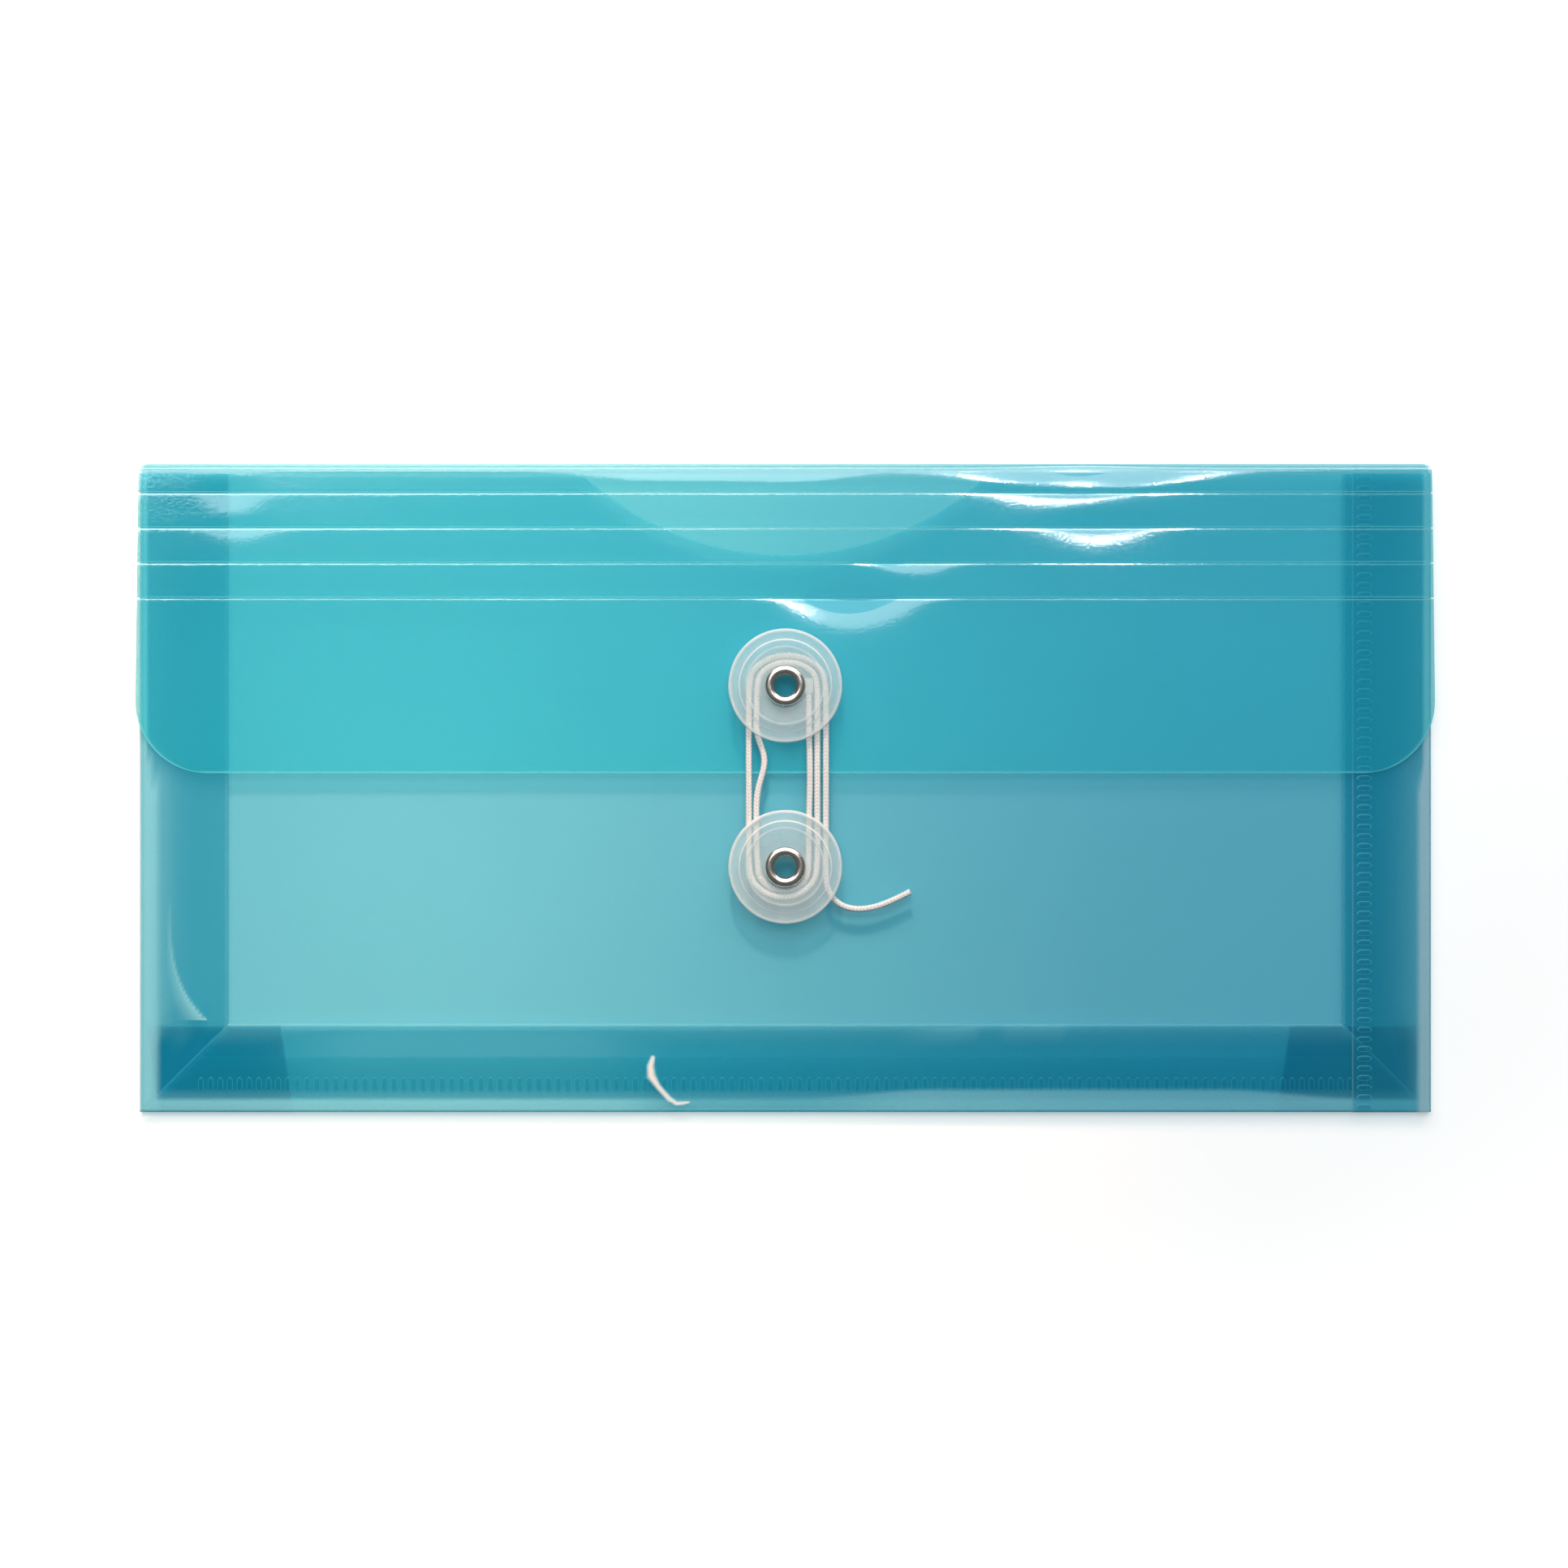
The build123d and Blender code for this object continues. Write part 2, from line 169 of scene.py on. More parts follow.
def add_piece(name, points, faces, values, material, body, slot, *nodes, attribute="crease"):
    """Make one piece, with a value at each point that its material reads, attach it to its body and hide the CAD
    parts that it stands for.
    """
    mesh = bpy.data.meshes.new(name)
    mesh.from_pydata(points, [], faces)
    mesh.attributes.new(attribute, "FLOAT", "POINT").data.foreach_set("value", values)
    mesh.shade_smooth()
    mesh.materials.append(material)
    piece = bpy.data.objects.new(name, mesh)
    bpy.context.collection.objects.link(piece)
    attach(piece, body)
    if nodes:
        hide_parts(*nodes)
    return piece


def lay_sheet(name, across, along, place, material, body, *nodes):
    """Make one sheet from a grid of stations. place gives a point and how milky the sheet is there, with the pale
    light and highlights painted into it.
    """
    points, milky_or_lit_values = [], []
    for v in along:
        for u in across:
            x, y, z, milky_or_lit = place(u, v)
            points.append((x, y, z))
            milky_or_lit_values.append(milky_or_lit)
    add_piece(name, points, grid_faces(len(across), len(along)), milky_or_lit_values, material, body, "film", *nodes)


def top_width(y):
    """Half the width of the sheet at a height, with its round top corners."""
    over = max(y - (TOP - CORNER), 0)
    return SIDE - CORNER + sqrt(max(CORNER * CORNER - over * over, 0))


def rolled(low, high, count):
    """Stations across a panel with a half-round roll at both ends, as (place, lift)."""
    start = [(low + ROLL - run, lift) for run, lift in arc(ROLL, range(180, 0, -30))]
    flat = [(station, 0) for station in spread(low + ROLL, high - ROLL, count)]
    end = [(low + high - place, lift) for place, lift in reversed(start)]
    return start + flat + end


def pressed(y):
    """How wide the painted light along the rolled sides is at a height: the closed flap presses the rolled edge
    narrower.
    """
    return 0.5 + 0.5 * ease(y, 0.007, 0.001)


# The back panel's values paint light into its colour: a pale rim along the rolled sides and bottom, and a highlight
# along the milky top fold.
def back_place(u, v):
    x, lift = u
    y, rise = v
    rim = 0.6 * ease((SIDE - abs(x)) / pressed(y), 0.0033, 0.0022)
    foot = 0.5 * ease(y - BOTTOM, 0.0036, 0.002)
    crest = ease(TOP - y, 0.001)
    return x * top_width(y) / SIDE, y, MID + max(lift, rise), max(rim, foot, crest)


back_film = film("back_film", (0.72, 0.90, 0.92))
back_along = [station for station in rolled(BOTTOM, TOP, 24) if station[0] < FOLD_Y]
back_along += [(FOLD_Y + run, lift) for run, lift in arc(FOLD, range(0, 88, 12))]
lay_sheet("back_sheet", rolled(-SIDE, SIDE, 50), back_along, back_place, back_film, "back", "back_panel")

# The gussets fold in between the panels: two leaves on each side and two along the bottom.
# The sheet is scored at every fold, and the score lines turn milky where it bends.
GUSSET = 0.017  # depth of a leaf
LEAF_TOP = TOP - 0.002
SETBACK = 0.0003  # from the outer fold to where a leaf begins
MITRE = 0.00025  # half the gap between two leaves in a corner
BACK_LEAF = LAYER + MID
FRONT_LEAF = 2 * LAYER + MID
leaf_film = film("gusset_film", (0.55, 0.88, 0.93))


def leaf_stations(fold):
    """Stations into a leaf as (depth, lift), with the roll of the inner fold where the leaf has it."""
    stations = [(SETBACK + station, 0) for station in spread(0, GUSSET - SETBACK, 8)]
    if fold:
        stations += [(GUSSET + 0.8 * run, lift) for run, lift in arc(ROLL, range(30, 181, 30))]
    return stations


def side_leaf(name, side, height, fold, body, node):
    """One leaf of a side gusset, cut at the mitre. Its colour carries painted light: a pale rim on the rolled outer
    edge fading inward, and more on the left leaves above the corner.
    """

    def place(u, v):
        depth, lift = u
        low = BOTTOM + min(depth, GUSSET) + MITRE
        y = low + (LEAF_TOP - low) * v
        above = 1 - ease(y - BOTTOM, GUSSET + 0.001, GUSSET - 0.002)
        inner = 0.3 * ease(GUSSET - depth, 0.0004)
        rim = 0.5 * ease(depth / pressed(y), 0.0036, 0.0022)
        fade = 0.4 * above * pressed(y) * ease(depth, 0.013)
        left_light = 0.16 * above if side < 0 else 0
        return side * (SIDE - depth), y, height + lift, max(inner, rim, fade, left_light)

    lay_sheet(name, leaf_stations(fold), spread(0, 1, 20, 0.004), place, leaf_film, body, node)


def bottom_leaf(name, height, fold, body, node):
    """One leaf of the bottom gusset, mitred against the side leaves, with painted light in a pale patch on the left
    and along its rolled outer edge.
    """

    def place(u, v):
        depth, lift = v
        x = (SIDE - min(depth, GUSSET) - MITRE) * u
        inner = max(0.6 * ease(GUSSET - depth, 0.0004), 0.25 * ease(GUSSET - depth, 0.005))
        rim = 0.5 * ease(depth, 0.0032, 0.002)
        patch = 0.25 * ease(abs(x + 0.062), 0.045, 0.020)
        return x, BOTTOM + depth, height + lift, max(inner, rim, patch)

    lay_sheet(name, spread(-1, 1, 40, 0.003), leaf_stations(fold), place, leaf_film, body, node)


side_leaf("left_back_sheet", -1, BACK_LEAF, True, "left_back", "left_back_leaf")
side_leaf("left_front_sheet", -1, FRONT_LEAF, False, "left_front", "left_front_leaf")
side_leaf("right_back_sheet", 1, BACK_LEAF, True, "right_back", "right_back_leaf")
side_leaf("right_front_sheet", 1, FRONT_LEAF, False, "right_front", "right_front_leaf")
bottom_leaf("bottom_back_sheet", BACK_LEAF, True, "bottom_back", "bottom_back_leaf")
bottom_leaf("bottom_front_sheet", FRONT_LEAF, False, "bottom_front", "bottom_front_leaf")

# The dust flaps are the gussets' cut ends, tucked into the bottom corners under the back leaf.
# They are the same sheet. Their deeper tint stands for the several layers that meet in a corner.
DUST = 0.0276  # from the side to the free end
DUST_TAPER = 0.0025
DUST_END = 0.0032  # how near the outer folds the end past the mitre reaches
DUST_SLANT = 0.0021
DUST_Z = LAYER - MID
DUST_GRID = spread(0, 1, 6, 0.01)
corner_film = film("corner_film", (0.55, 0.88, 0.93), tint=(0.25, 0.61, 0.81))


def dust_flap(name, side, node):
    """One corner flap, from the mitre to its slanted free end."""

    def place(u, v):
        y = BOTTOM + SETBACK + (GUSSET - SETBACK) * v
        near = SIDE - (y - BOTTOM) - MITRE
        far = SIDE - DUST - DUST_TAPER * (1 - v)
        x = near + (far - near) * u
        return side * x, y, DUST_Z, 0.6 * ease(x - far, 0.0005)

    lay_sheet(name, DUST_GRID, DUST_GRID, place, corner_film, "bottom_back", node)


def dust_end(name, side, body):
    """The end of a corner flap beyond the mitre, cut at a slant, which moves with the side leaf above it."""

    def place(u, v):
        rise = DUST_END + (GUSSET - DUST_END) * v
        near = SIDE - rise + MITRE
        far = max(SIDE - DUST_END + DUST_SLANT * v, near)
        return side * (near + (far - near) * u), BOTTOM + rise, DUST_Z, ease(GUSSET - rise, 0.0005)

    lay_sheet(name, DUST_GRID, DUST_GRID, place, corner_film, body)


dust_flap("left_dust_sheet", -1, "left_dust_flap")
dust_flap("right_dust_sheet", 1, "right_dust_flap")
dust_end("left_dust_end", -1, "left_back")
dust_end("right_dust_end", 1, "right_back")

# The bottom seam lap is the sheet's edge laid over the front leaf and welded down.
# A heated toothed bar leaves a row of raised ribs along it.
SEAM_LOW = 0.001
SEAM_HIGH = 0.0108
SEAM_WELD = 0.0054  # from the bottom fold to the middle of the ribs
LAP_Z = 2 * LAYER + 3 * MID
RIB_PITCH = 0.0019
RIB_LONG = 0.00145  # half a rib's length
RIB_WIDE = 0.00056  # half its width
RIB_HEIGHT = 0.0001
RIB_CLEAR = 0.00002  # from the sheet to the rib's foot
# The ribs' pale outline is a painted highlight along their edges.
RIB_OUTLINE_LIGHT = 0.38  # how pale its outline is
RIB_COLUMNS, RIB_ROWS = 5, 7
seam_film = film("seam_film", (0.66, 0.86, 0.88), tint=(0.78, 0.95, 0.99), haze=0.13)
rib_film = film("rib_film", (0.10, 0.70, 0.88), tint=(0.90, 0.97, 0.99), milk=(0.0, 0.26, 0.36), haze=0.10,
                rough=0.25, grain=0.0, ripple=0.0, gloss=1.45, mark=1.1)


# The lap is painted paler near the bottom fold: painted light, as on the panel there.
def lap_place(u, v):
    depth = SEAM_LOW + (SEAM_HIGH - SEAM_LOW) * v
    milky_or_lit = 0.3 * ease(depth, 0.0045, 0.0032)
    return (SIDE - depth - MITRE) * u, BOTTOM + depth, LAP_Z, milky_or_lit


def rib_row(count):
    """Where the ribs of a row stand, from its middle."""
    return [(step - (count - 1) / 2) * RIB_PITCH for step in range(count)]


def weld_ribs(name, places, upright, height, body):
    """Low rounded ribs across a level or upright seam, one for each tooth of the welding bar."""
    points, faces, rim = [], [], []
    for centre_x, centre_y in places:
        faces += grid_faces(RIB_COLUMNS, RIB_ROWS, len(points))
        for row in range(RIB_ROWS):
            along = row / 3 - 1
            pinch = sqrt(max(1 - along ** 4, 0))
            for column in range(RIB_COLUMNS):
                wide = column / 2 - 1
                long, short = RIB_LONG * along, RIB_WIDE * wide * (0.25 + 0.75 * pinch)
                step = (long, short) if upright else (short, long)
                lift = RIB_HEIGHT * (1 - wide * wide) * pinch
                points.append((centre_x + step[0], centre_y + step[1], height + RIB_CLEAR + lift))
                # The points on a rib's edge carry its painted highlight.
                edge = column in (0, RIB_COLUMNS - 1) or row in (0, RIB_ROWS - 1)
                rim.append(RIB_OUTLINE_LIGHT if edge else 0.0)
    add_piece(name, points, faces, rim, rib_film, body, "film")


lay_sheet("bottom_lap_sheet", spread(-1, 1, 40, 0.003), spread(0, 1, 6, 0.02), lap_place, seam_film,
          "bottom_front", "bottom_seam_lap")
weld_ribs("bottom_ribs", [(x, BOTTOM + SEAM_WELD) for x in rib_row(122)], False, LAP_Z, "bottom_front")

# The front panel is frosted a little by its grain, and has a wide thumb notch in its top edge.
# It carries the lower button, and its side and bottom edges roll down into the gussets.
FRONT_Z = 3 * LAYER + MID
NOTCH_R = 0.058
NOTCH_DEPTH = 0.016
NOTCH_HALF = sqrt(NOTCH_R ** 2 - (NOTCH_R - NOTCH_DEPTH) ** 2)
NOTCH_Y = LEAF_TOP - NOTCH_DEPTH + NOTCH_R
KINK = [(-0.02605, -0.0531), (-0.0265, -0.0548), (-0.0263, -0.0567), (-0.02495, -0.0588), (-0.0228, -0.0612),
        (-0.0213, -0.0621), (-0.0190, -0.0619)]
KINK_HALF = [0.0007, 0.0011, 0.0013, 0.0008, 0.0008, 0.0006, 0.0003]
REFLECTION_FOOT = -0.0457
REFLECTION_TALL = 0.0235
front_film = film("front_film", (0.36, 0.90, 1.0), rough=0.26, grain=0.06, gloss=1.4)


def front_top(x):
    """The height of the front panel's top edge, with the thumb notch."""
    if abs(x) >= NOTCH_HALF:
        return LEAF_TOP
    return NOTCH_Y - sqrt(NOTCH_R ** 2 - x * x)


def kink_glint(x, y):
    """The milky whitening and painted white glint of a sharp little bend pressed into the bottom of the panel."""
    white = 0.0
    for (x1, y1), (x2, y2), half, next_half in zip(KINK, KINK[1:], KINK_HALF, KINK_HALF[1:]):
        part = ((x - x1) * (x2 - x1) + (y - y1) * (y2 - y1)) / ((x2 - x1) ** 2 + (y2 - y1) ** 2)
        part = min(max(part, 0), 1)
        away = hypot(x - x1 - part * (x2 - x1), y - y1 - part * (y2 - y1))
        white = max(white, ease(away, half + (next_half - half) * part))
    return white


def bottom_fold_reflection(x, y):
    """The painted reflection along the bottom fold, a pale strip deepest on the right."""
    right = 1 - ease(x, 0.030)
    left = 0.96 * ease(x, -0.018, -0.034)
    deep = 0.0026 + 0.0019 * right * ease(x, 0.115, 0.085)
    return (0.18 + 0.26 * max(left, right)) * ease(y - BOTTOM, deep + 0.0006, deep - 0.0006)


def sheen(x, y):
    """The painted soft light on the bottom gusset's swell, under its inner fold."""
    below = BOTTOM + GUSSET - y + 0.0003 * sin(x * 160)
    if below < 0:
        return 0.0
    return 0.36 * ease(abs(x - 0.053), 0.034, 0.018) * ease(below, 0.0029, 0.0019) * (0.6 + below / 0.006)


def bend_reflection(x, y):
    """A painted reflection of a long soft bend beside the left edge, ending square above the bottom fold."""
    rise = (y - REFLECTION_FOOT) / REFLECTION_TALL
    if rise < 0 or rise > 1:
        return 0.0
    bright = 1 - 0.6 * rise
    ridge = 0.0060 - SIDE + 0.0071 * (1 - rise) ** 3.4
    if x > ridge:
        return bright * ease(x - ridge, 0.0006)
    wide = 0.0016 + 0.0058 * (1 - rise) ** 2
    return bright * max(1 - (ridge - x) / wide, 0) ** 1.4


# The front panel's values paint light into its colour: a pale rim on the rolled sides, brighter on the left and
# fading inward, painted reflections along the bottom fold, on the swell and beside the left edge, and a painted glint
# on the little pressed bend.
def front_place(u, v):
    x, lift = u
    part, roll = v
    top = front_top(x)
    y, drop = BOTTOM + part * (top - BOTTOM), lift
    if roll:
        y, drop = BOTTOM + ROLL - roll[0], max(lift, roll[1])
    edge = SIDE - abs(x)
    above = 1 - ease(y - BOTTOM, GUSSET + 0.0006, GUSSET - 0.0006)
    bright, wide = (0.5, 0.0042) if x < 0 else (0.32, 0.0036)
    reach = wide * pressed(y)
    rim = bright * ease(edge, reach, reach - 0.001)
    fade = 0.34 * above * pressed(y) * ease(edge, 0.012)
    soft = max(rim, fade, bottom_fold_reflection(x, y), sheen(x, y)) * (1 - 0.8 * ease(min(edge, y - BOTTOM), 0.0006))
    notch = abs(hypot(x, y - NOTCH_Y) - NOTCH_R)
    cut = 0.4 * max(ease(top - y, 0.0004), ease(notch, 0.0005))
    return x, y, FRONT_Z - drop, max(soft, cut, 1.7 * kink_glint(x, y), 0.66 * bend_reflection(x, y))


# Its stations are closer together over the painted reflection beside the left edge, over the little pressed bend's
# glint and at the inner fold below.
front_across = rolled(-SIDE, SIDE, 100)
front_across += [(-0.1225 + 0.0004 * step, 0) for step in range(24)]
front_across += [(-0.0285 + 0.0003 * step, 0) for step in range(34)]
front_across.sort()
parts = spread(0, 1, 24, 0.003) + [0.008 + 0.003 * step for step in range(30)]
parts += [0.134, 0.1362, 0.138, 0.1395, 0.1405, 0.1415, 0.1425]
parts += [0.1435 + 0.006 * step for step in range(32)]
front_along = [(0, roll) for roll in arc(ROLL, range(180, 0, -30))]
front_along += [(0.0032 + part * 0.9968, None) for part in sorted(parts)]
lay_sheet("front_sheet", front_across, front_along, front_place, front_film, "front", "front_panel")

# The side seam tab is the right gusset's margin, laid on the front panel and welded down its inner edge.
# Its free edge shows as a faint line beside the row of weld ribs.
TAB = 0.0156
TAB_WELD = 0.0132  # from the side to the middle of the ribs
TAB_Z = 3 * LAYER + 3 * MID
TAB_MIDDLE = (BOTTOM + LEAF_TOP) / 2


# The tab's pale rim along the side and its faint fade inward are painted light.
def tab_place(u, v):
    y = BOTTOM + (LEAF_TOP - BOTTOM) * v
    edge = TAB - u
    free = 0.3 * ease(u, 0.0004)
    rim = 0.55 * ease(edge / pressed(y), 0.0034, 0.0026)
    return SIDE - TAB + u, y, TAB_Z, max(free, rim, 0.1 * ease(edge, 0.008))


lay_sheet("side_tab_sheet", spread(0, TAB - ROLL, 8), spread(0, 1, 20, 0.004), tab_place, seam_film,
          "front", "side_seam_tab")
weld_ribs("side_ribs", [(SIDE - TAB_WELD, TAB_MIDDLE + y) for y in rib_row(66)], True, TAB_Z, "front")

# The flap is scored across in four lines, so that it bends over a full envelope.
# The strips between the lines and the round-cornered tongue are glossier than the panel below and a little wavy.
FLAP_Z = 4 * LAYER + MID
FLAP_LONG = 0.0609
FLAP_END = TOP - FLAP_LONG
FLAP_HALF = 0.1278  # half its width at the free end
FLAP_CORNER = 0.0143
SCORES = [TOP - 0.0059 - 0.0069 * step for step in range(4)]
GAP = 0.000125  # from a score line to the strip beside it
FINE = 0.00025  # how far a score line's groove reaches
# Each dent has its score line, middle, width, slope and reach.
DENTS = [(0, 0.056, 0.015, 0.150, 0.0036), (1, 0.062, 0.011, 0.145, 0.0032), (2, 0.0225, 0.010, 0.200, 0.0034),
         (3, 0.012, 0.013, 0.235, 0.0056), (0, -0.109, 0.004, 0.150, 0.0026), (1, -0.107, 0.006, 0.140, 0.0012)]
flap_film = film("flap_film", (0.28, 1.0, 1.0), tint=(0.72, 1.0, 1.0), milk=(0.0, 0.78, 1.0), haze=0.185,
                 rough=0.05, grain=0.01, ripple=0.03, gloss=3.2, mark=1.6)


def flap_half(y):
    """Half the flap's width at a height: it widens from the fold, and ends in round corners."""
    half = SIDE + (FLAP_HALF - SIDE) * (TOP - y) / FLAP_LONG
    below = FLAP_END + FLAP_CORNER - y
    if below > 0:
        return half - FLAP_CORNER + sqrt(max(FLAP_CORNER ** 2 - below * below, 0))
    over = max(y - (TOP - CORNER), 0)
    return half - CORNER + sqrt(max(CORNER * CORNER - over * over, 0))


def flap_wave(x, y):
    """How far the loose flap stands off flat, in metres: a dip at each score line, and a droop to the fold."""
    lift = 0.00005 * sin(x * 55 + 1) * sin(y * 160 + 0.5)
    for line, centre, wide, slope, reach in DENTS:
        lift -= slope * reach * exp(-((x - centre) / wide) ** 2 - abs(y - SCORES[line]) / reach)
    for score in SCORES:
        lift -= 0.13 * FINE * exp(-abs(y - score) / FINE)
    bulge = exp(-((x - 0.058) / 0.022) ** 2)
    droop = 0.0012 + 0.0026 * exp(-((x + 0.013) / 0.027) ** 4) + 0.0056 * bulge
    droop += 0.0010 * exp(-((x + 0.108) / 0.006) ** 2) + 0.0004 * sin(x * 90)
    past = max(y - (TOP - droop - 0.0005), 0)
    return lift - (0.12 + 0.07 * bulge) * (past - 0.0012 * (1 - exp(-past / 0.0012)))


def flap_piece(name, high, low, body, node, fold=False):
    """One strip of the flap between two score lines, or the tongue."""
    tongue = low == FLAP_END
    rows = [(y, 0) for y in spread(low, high, max(4, int((high - low) / 0.0018)), FINE)]
    if tongue:
        rows = [(FLAP_END + lift, 0) for run, lift in arc(FLAP_CORNER, range(0, 90, 6))]
        rows += [(y, 0) for y in spread(FLAP_END + FLAP_CORNER, high, 12, FINE)]
    if fold:
        rows += [(FOLD_Y + run, lift) for run, lift in arc(FOLD, range(6, 89, 12))]

    def place(u, v):
        y, drop = v
        half = flap_half(y)
        x = half * u
        side = 0.3 * ease(half - abs(x), 0.0009)
        upper = 0 if fold else 0.28 * ease(high - y, 0.0004)
        lower = 0.32 * ease(y - low, 0.00045) if tongue else 0.28 * ease(y - low, 0.0004)
        # The top fold's pale band is a painted highlight.
        crest = 0.12 * ease(TOP - y, 0.0016, 0.0004)
        wave = flap_wave(x, min(y, FOLD_Y)) * (1 - drop / FOLD)
        return x, y, FLAP_Z - drop + wave, max(side, upper, lower, crest)

    lay_sheet(name, spread(-1, 1, 120, 0.0012), rows, place, flap_film, body, node)


flap_piece("flap_sheet_1", FOLD_Y, SCORES[0] + GAP, "flap_1", "flap_strip_1", True)
flap_piece("flap_sheet_2", SCORES[0] - GAP, SCORES[1] + GAP, "flap_2", "flap_strip_2")
flap_piece("flap_sheet_3", SCORES[1] - GAP, SCORES[2] + GAP, "flap_3", "flap_strip_3")
flap_piece("flap_sheet_4", SCORES[2] - GAP, SCORES[3] + GAP, "flap_4", "flap_strip_4")
flap_piece("flap_tongue_sheet", SCORES[3] - GAP, FLAP_END, "flap", "flap_tongue")

# The hubs are short moulded spacers that hold each button off its sheet, so that the string can pass under it.
# The upper one has a lug that the string's end is fastened to. Both keep their CAD shapes.
UPPER_Y = 0.02
LOWER_Y = -0.0155
HUB_H = 0.0023
UPPER_HUB_Z = 4 * LAYER + 2 * MID
LOWER_HUB_Z = 3 * LAYER + 2 * MID


def clear_plastic(name, share, colour, tint, rough):
    """Clear moulded plastic, milky where the attribute says that it is thicker or rough, and whiter with painted
    highlights where it marks the buttons' edges.
    """
    material, made = fresh(name)
    place = made.make("ShaderNodeTexCoord", out="Object")
    milky_or_glinting = made.make("ShaderNodeAttribute", {"attribute_name": "crease"}, out="Fac")
    cloud = made.make("ShaderNodeTexNoise", None, {"Vector": place, "Scale": 260.0, "Detail": 3.0})
    specks = made.make("ShaderNodeTexNoise", None, {"Vector": place, "Scale": 2600.0, "Detail": 1.0})
    bump = made.make("ShaderNodeBump", None, {"Strength": 0.4, "Distance": 0.0001, "Height": specks})
    body = made.make("ShaderNodeBsdfPrincipled", None, {
        "Base Color": milky_or_glinting.blend((*colour, 1), (0.93, 0.96, 0.97, 1)),
        "Roughness": cloud * 0.15 + rough,
        "IOR": 1.6,
        "Normal": bump,
    })
    clear = made.make("ShaderNodeBsdfTransparent", None, {"Color": (*tint, 1)})
    mixed = made.make("ShaderNodeMixShader", None, {0: milky_or_glinting * 0.5 + cloud * 0.1 + share, 1: clear, 2: body})
    made.make("ShaderNodeOutputMaterial", None, {"Surface": mixed})
    return material


hub_plastic = clear_plastic("hub_plastic", 0.6, (0.86, 0.93, 0.97), (0.85, 0.95, 0.97), 0.3)
for hub in ("upper_hub", "lower_hub"):
    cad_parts[hub].data.materials.clear()
    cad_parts[hub].data.materials.append(hub_plastic)

# The buttons are thin clear discs with a rounded rim, a raised middle and a shallow groove below.
# They are moulded in clear plastic; their colour paints highlights on the rim and round the raised middle.
DISC_R = 0.01115
DISC_T = 0.0008
BORE = 0.00265
UPPER_DISC_Z = UPPER_HUB_Z + HUB_H + 0.00005
LOWER_DISC_Z = LOWER_HUB_Z + HUB_H + 0.00005
disc_plastic = clear_plastic("disc_plastic", 0.13, (0.82, 0.97, 1.0), (0.99, 1.0, 1.0), 0.22)


def tube_faces(rings, sides):
    """The faces between rings of points, each with the same number of sides."""
    faces = []
    for ring in range(rings - 1):
        near, far = ring * sides, (ring + 1) * sides
        for side in range(sides):
            beside = (side + 1) % sides
            faces.append((near + side, near + beside, far + beside, far + side))
    return faces


def turned(name, profile, centre_y, material, body, node, slot, sides=96):
    """A piece turned on a lathe about its button's axis. Each profile point has a radius, height and milkiness, which
    on the buttons also paints highlights.
    """
    points, milky_or_lit = [], []
    for radius, height, milky_or_glinting in profile:
        for side in range(sides):
            turn = 2 * pi * side / sides
            points.append((radius * cos(turn), centre_y + radius * sin(turn), height))
            milky_or_lit.append(milky_or_glinting)
    add_piece(name, points, tube_faces(len(profile), sides), milky_or_lit, material, body, slot, node)


def disc_profile(z):
    """The button's section, from the bore round the underside and rim back to the bore."""
    top = z + DISC_T
    # The third values paint highlights: brightest on the rim and the raised middle's step, fainter along the groove
    # below.
    return [
        (BORE, z, 0.2), (0.0072, z, 0.15), (0.00745, z + 0.0001, 0.5), (0.0076, z + 0.00015, 0.55),
        (0.00775, z + 0.0001, 0.5), (0.008, z, 0.05), (0.0107, z, 0.1), (0.01095, z + 0.00006, 0.6),
        (0.0111, z + 0.0002, 0.95), (DISC_R, z + 0.0004, 1), (0.0111, top - 0.0002, 0.95),
        (0.01095, top - 0.00006, 0.9), (0.0107, top, 0.55), (0.0104, top, 0.15), (0.00925, top, 0.08),
        (0.00906, top + 0.00002, 0.9), (0.00896, top + 0.00012, 1.0), (0.00886, top + 0.00015, 0.2),
        (0.0086, top + 0.00015, 0.06), (0.006, top + 0.00015, 0.04), (BORE + 0.0002, top + 0.00015, 0.1),
        (BORE, top + 0.0001, 0.2), (BORE, z, 0.1),
    ]


turned("upper_disc_turned", disc_profile(UPPER_DISC_Z), UPPER_Y, disc_plastic, "upper_disc", "upper_button", "button")
turned("lower_disc_turned", disc_profile(LOWER_DISC_Z), LOWER_Y, disc_plastic, "lower_disc", "lower_button", "button")

# The eyelets are drawn from thin steel and nickel plated, with a domed flange on the button.
# Their barrels are rolled over under the sheet, and show fine marks of the setting tool.
EYELET_BORE = 0.00215
BARREL = 0.0026
nickel, made = fresh("eyelet_nickel")
place = made.make("ShaderNodeTexCoord", out="Object")
marks = made.make("ShaderNodeTexNoise", None, {"Vector": place, "Scale": 900.0, "Detail": 3.0})
dull = made.make("ShaderNodeTexNoise", None, {"Vector": place, "Scale": 300.0, "Detail": 2.0})
bump = made.make("ShaderNodeBump", None, {"Strength": 0.06, "Distance": 0.0001, "Height": marks})
plate = made.make("ShaderNodeBsdfPrincipled", None, {
    "Base Color": dull.blend((0.74, 0.64, 0.56, 1), (0.95, 0.90, 0.85, 1)),
    "Metallic": 1.0,
    "Roughness": marks * 0.2 + 0.14,
    "Normal": bump,
})
made.make("ShaderNodeOutputMaterial", None, {"Surface": plate})


